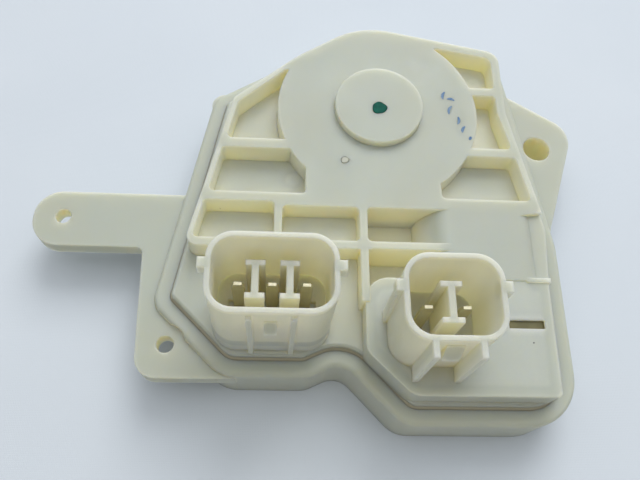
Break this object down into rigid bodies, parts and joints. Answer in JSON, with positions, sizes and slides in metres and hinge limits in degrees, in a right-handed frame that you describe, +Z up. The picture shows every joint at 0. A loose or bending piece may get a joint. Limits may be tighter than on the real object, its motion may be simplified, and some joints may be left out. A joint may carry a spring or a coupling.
{
  "type": "door latch actuator",
  "caption": "Ivory plastic drive box: a flat tub with a long arm and two ears, a ribbed cover with a round dome, and two upright sockets with blade pins.",
  "frame": {"origin": "underside of the case, below the centre of the worm wheel", "axes": "+Z up out of the socket mouths, +X to the right away from the long arm, +Y from the sockets towards the domed end"},
  "size_m": [0.1245, 0.0973, 0.0397],
  "materials": {
    "ivory_plastic": "satin moulded",
    "white_plastic": "satin moulded",
    "gear_plastic": "smooth moulded",
    "black_rubber": "matte",
    "plated_steel": "satin plated",
    "bright_steel": "ground",
    "lamination_steel": "stacked sheet",
    "zinc_steel": "zinc plated",
    "dark_ferrite": "pressed powder",
    "copper_alloy": "machined",
    "coil_copper": "enamelled wire",
    "tinned_brass": "tin plated"
  },
  "bodies": {
    "case": {"base_case": "ivory_plastic", "top_cover": "ivory_plastic", "cover_gasket": "black_rubber", "shaft_seal": "black_rubber", "stop_bumper_upper": "black_rubber", "stop_bumper_lower": "black_rubber", "motor_can": "plated_steel", "motor_end_cap": "white_plastic", "front_bush": "copper_alloy", "rear_bush": "copper_alloy", "magnet_left": "dark_ferrite", "magnet_right": "dark_ferrite", "brush_left": "dark_ferrite", "brush_right": "dark_ferrite", "motor_lug_left": "tinned_brass", "motor_lug_right": "tinned_brass", "motor_pad_left": "black_rubber", "motor_pad_right": "black_rubber", "motor_feed_left": "tinned_brass", "motor_feed_right": "tinned_brass", "switch_contact_left": "tinned_brass", "switch_contact_common": "tinned_brass", "switch_contact_right": "tinned_brass", "wheel_axle": "bright_steel"},
    "armature": {"armature_shaft": "bright_steel", "armature_stack": "lamination_steel", "coil_a": "coil_copper", "coil_b": "coil_copper", "coil_c": "coil_copper", "commutator": "copper_alloy", "worm": "copper_alloy"},
    "wheel": {"worm_wheel": "gear_plastic", "drive_pinion": "bright_steel"},
    "output": {"sector_gear": "gear_plastic", "output_shaft": "bright_steel", "output_lever": "zinc_steel", "switch_wiper": "tinned_brass"}
  },
  "joints": [
    {"name": "armature_spin", "type": "hinge", "parent": "case", "child": "armature", "pos_m": [0.022, -0.03, 0.0106], "axis": [0, 1, 0], "range_deg": [-1280, 1280]},
    {"name": "wheel_spin", "type": "hinge", "parent": "case", "child": "wheel", "pos_m": [0, 0, 0.0106], "axis": [0, 0, 1], "range_deg": [-80, 80]},
    {"name": "lever_swing", "type": "hinge", "parent": "case", "child": "output", "pos_m": [-0.01915, -0.01607, 0.005], "axis": [0, 0, 1], "range_deg": [-20, 20]}
  ],
  "couplings": [
    {"joint": "wheel_spin", "follows": "armature_spin", "ratio": -0.0625},
    {"joint": "lever_swing", "follows": "armature_spin", "ratio": 0.015625}
  ]
}
